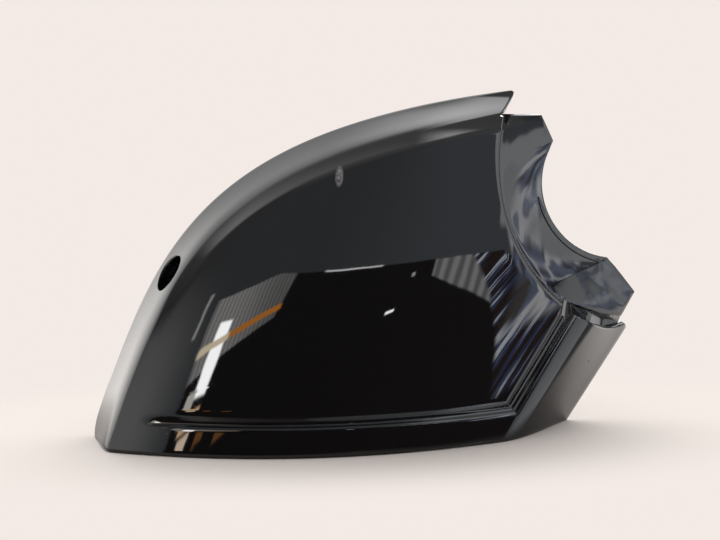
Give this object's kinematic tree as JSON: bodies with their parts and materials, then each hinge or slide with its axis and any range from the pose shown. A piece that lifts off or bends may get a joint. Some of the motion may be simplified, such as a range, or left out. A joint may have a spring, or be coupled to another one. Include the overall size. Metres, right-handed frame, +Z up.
{
  "type": "mirror lower cover",
  "caption": "Gloss black moulded lower cover of a car door mirror: curved shell with a band along its parting edge, lip and groove, pivot cut-out, round hole.",
  "frame": {"origin": "middle of the part's footprint, on the plane of the glass edge it stands on", "axes": "+X inboard along the part's length, +Y from the outer face back to the parting edge, +Z up from the glass edge"},
  "size_m": [0.2557, 0.0674, 0.1566],
  "materials": {
    "gloss_black": "gloss"
  },
  "bodies": {
    "root": {"lower_cover": "gloss_black"}
  },
  "joints": []
}
